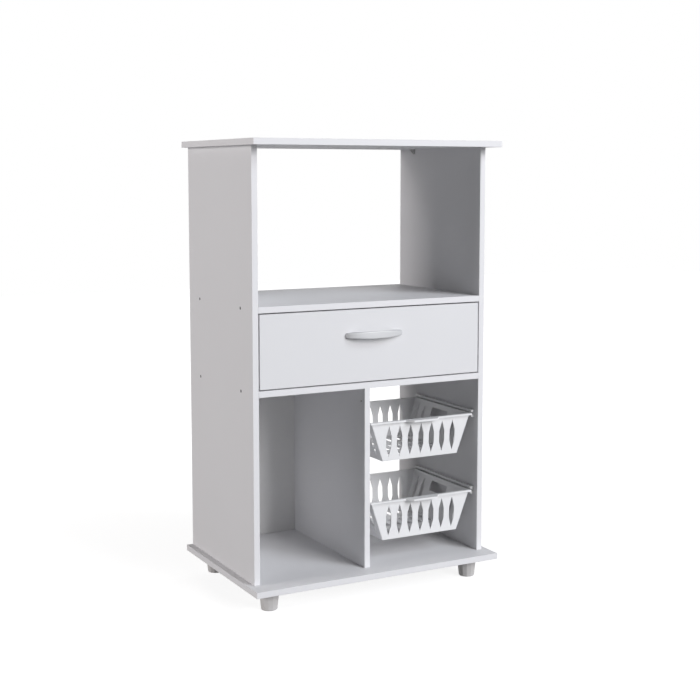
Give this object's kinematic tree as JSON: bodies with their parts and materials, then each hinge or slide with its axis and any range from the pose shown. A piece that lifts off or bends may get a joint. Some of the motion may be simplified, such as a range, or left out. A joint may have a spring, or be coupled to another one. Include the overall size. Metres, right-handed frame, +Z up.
{
  "type": "kitchen storage cabinet",
  "caption": "White free-standing kitchen cabinet with an open appliance bay, a wide drawer on roller runners, an open lower bay and pull-out slotted baskets, on short tapered feet.",
  "frame": {"origin": "on the floor, under the middle of the top panel", "axes": "+X to the right seen from the front, +Y to the back, +Z up; the open front faces -Y"},
  "size_m": [0.675, 0.45, 1.114],
  "materials": {
    "white_board": "white melamine faced board, satin",
    "hardboard": "thin hardboard, painted white on the inside",
    "white_plastic": "moulded, satin",
    "grey_plastic": "moulded, matte",
    "foot_plastic": "silver grey, glossy",
    "handle_finish": "satin silver lacquer",
    "rail_steel": "white epoxy coat",
    "nylon": "natural nylon",
    "zinc_steel": "bright zinc plate",
    "beech": "raw, fluted"
  },
  "bodies": {
    "cabinet": {"top_panel": "white_board", "base_panel": "white_board", "left_side_panel": "white_board", "right_side_panel": "white_board", "upper_shelf": "white_board", "lower_shelf": "white_board", "centre_divider": "white_board", "drawer_bay_back_sheet": "hardboard", "left_bay_back_sheet": "hardboard", "lower_left_basket_runner": "white_plastic", "lower_right_basket_runner": "white_plastic", "upper_left_basket_runner": "white_plastic", "upper_right_basket_runner": "white_plastic", "back_left_bracket": "grey_plastic", "back_right_bracket": "grey_plastic", "front_left_foot": "foot_plastic", "front_right_foot": "foot_plastic", "back_left_foot": "foot_plastic", "back_right_foot": "foot_plastic", "left_cabinet_rail": "rail_steel", "right_cabinet_rail": "rail_steel", "shelf_screws": "zinc_steel", "base_screws": "zinc_steel", "divider_screws": "zinc_steel", "foot_screws": "zinc_steel", "bracket_screws": "zinc_steel", "back_sheet_nails": "zinc_steel", "cabinet_rail_screws": "zinc_steel", "basket_runner_screws": "zinc_steel", "cabinet_roller_rivets": "zinc_steel", "top_dowels": "beech"},
    "drawer": {"drawer_front": "white_board", "drawer_left_wall": "white_board", "drawer_right_wall": "white_board", "drawer_back_wall": "white_board", "drawer_bottom": "hardboard", "drawer_handle": "handle_finish", "handle_screws": "zinc_steel", "drawer_rail_screws": "zinc_steel", "drawer_back_screws": "zinc_steel", "drawer_bottom_nails": "zinc_steel", "drawer_cam_bolts": "zinc_steel", "drawer_cams": "zinc_steel", "left_drawer_rail": "rail_steel", "right_drawer_rail": "rail_steel", "drawer_roller_rivets": "zinc_steel"},
    "upper_basket": {"upper_basket": "white_plastic"},
    "lower_basket": {"lower_basket": "white_plastic"},
    "left_cabinet_roller": {"left_cabinet_roller": "nylon"},
    "right_cabinet_roller": {"right_cabinet_roller": "nylon"},
    "left_drawer_roller": {"left_drawer_roller": "nylon"},
    "right_drawer_roller": {"right_drawer_roller": "nylon"}
  },
  "joints": [
    {"name": "drawer_slide", "type": "slide", "parent": "cabinet", "child": "drawer", "axis": [0, -1, 0], "range_m": [0, 0.25]},
    {"name": "upper_basket_slide", "type": "slide", "parent": "cabinet", "child": "upper_basket", "axis": [0, -1, 0], "range_m": [0, 0.2]},
    {"name": "lower_basket_slide", "type": "slide", "parent": "cabinet", "child": "lower_basket", "axis": [0, -1, 0], "range_m": [0, 0.2]},
    {"name": "left_cabinet_roller_spin", "type": "hinge", "parent": "cabinet", "child": "left_cabinet_roller", "pos_m": [-0.30125, -0.1445, 0.5553], "axis": [1, 0, 0], "range_deg": [0, 1690]},
    {"name": "right_cabinet_roller_spin", "type": "hinge", "parent": "cabinet", "child": "right_cabinet_roller", "pos_m": [0.30125, -0.1445, 0.5553], "axis": [1, 0, 0], "range_deg": [0, 1690]},
    {"name": "left_drawer_roller_spin", "type": "hinge", "parent": "drawer", "child": "left_drawer_roller", "pos_m": [-0.29925, 0.18, 0.5535], "axis": [1, 0, 0], "range_deg": [0, 1690]},
    {"name": "right_drawer_roller_spin", "type": "hinge", "parent": "drawer", "child": "right_drawer_roller", "pos_m": [0.29925, 0.18, 0.5535], "axis": [1, 0, 0], "range_deg": [0, 1690]}
  ],
  "couplings": [
    {"joint": "left_cabinet_roller_spin", "follows": "drawer_slide", "rad_per_m": 117.65},
    {"joint": "right_cabinet_roller_spin", "follows": "drawer_slide", "rad_per_m": 117.65},
    {"joint": "left_drawer_roller_spin", "follows": "drawer_slide", "rad_per_m": 117.65},
    {"joint": "right_drawer_roller_spin", "follows": "drawer_slide", "rad_per_m": 117.65}
  ]
}
